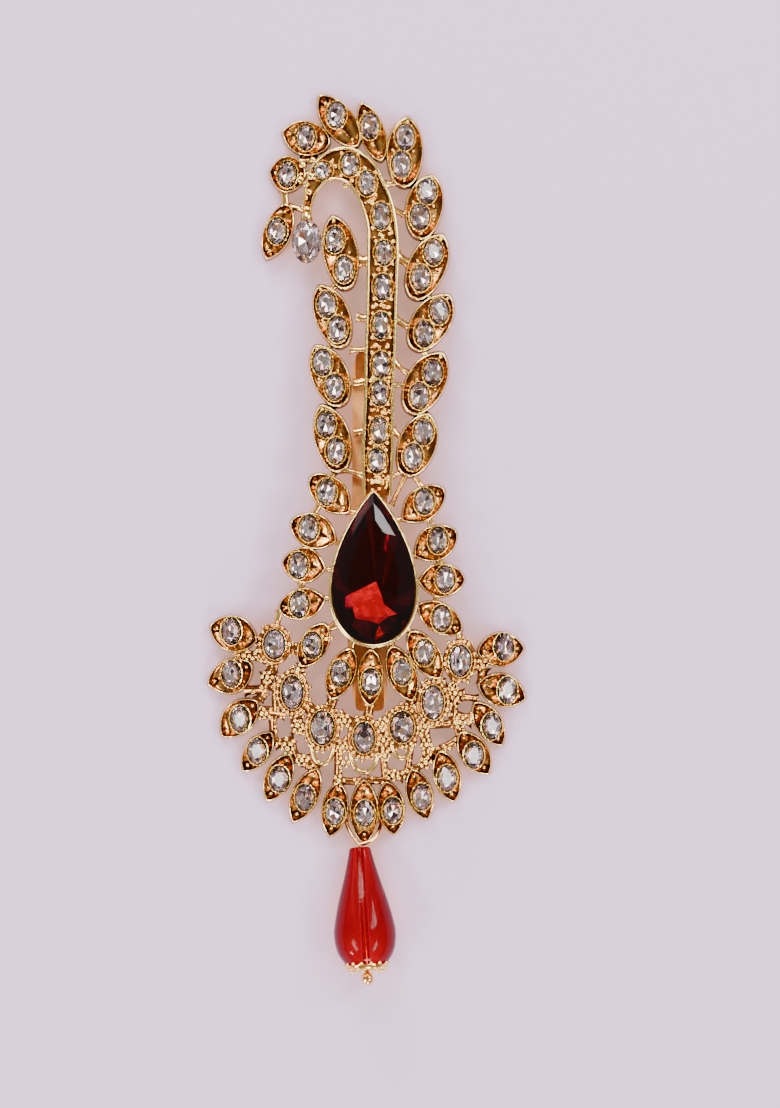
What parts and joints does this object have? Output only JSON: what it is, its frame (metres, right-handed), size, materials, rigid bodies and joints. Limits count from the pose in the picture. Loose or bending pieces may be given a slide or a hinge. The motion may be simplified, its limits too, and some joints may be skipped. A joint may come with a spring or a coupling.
{
  "type": "turban ornament",
  "caption": "Cast turban brooch with a curled stem of paired leaves, a red pear stone, a pierced fan and a red teardrop bead.",
  "frame": {"origin": "centre of the bounding box at the height of the surface that the ornament lies on", "axes": "+Y from the teardrop bead to the crest, +Z from the surface to the face, +X to the right as seen from above"},
  "size_m": [0.045, 0.1247, 0.0088],
  "materials": {
    "gold_plate": "polished",
    "clear_glass": "polished, foil backed",
    "red_glass": "polished, foil backed",
    "red_bead_glass": "polished, translucent"
  },
  "bodies": {
    "root": {"casting": "gold_plate", "red_stone": "red_glass", "crest_drop_stone": "clear_glass", "collar_stone_1": "clear_glass", "collar_stone_2": "clear_glass", "collar_stone_3": "clear_glass", "collar_stone_4": "clear_glass", "collar_stone_5": "clear_glass", "collar_stone_6": "clear_glass", "collar_stone_7": "clear_glass", "stem_stones": "clear_glass", "right_leaf_stones": "clear_glass", "left_leaf_stones": "clear_glass", "crest_stones": "clear_glass", "halo_stones": "clear_glass", "petal_stones": "clear_glass", "rim_stones": "clear_glass", "drop_bead": "red_bead_glass", "bead_cap": "gold_plate", "head_pin": "gold_plate", "back_pin": "gold_plate"}
  },
  "joints": []
}
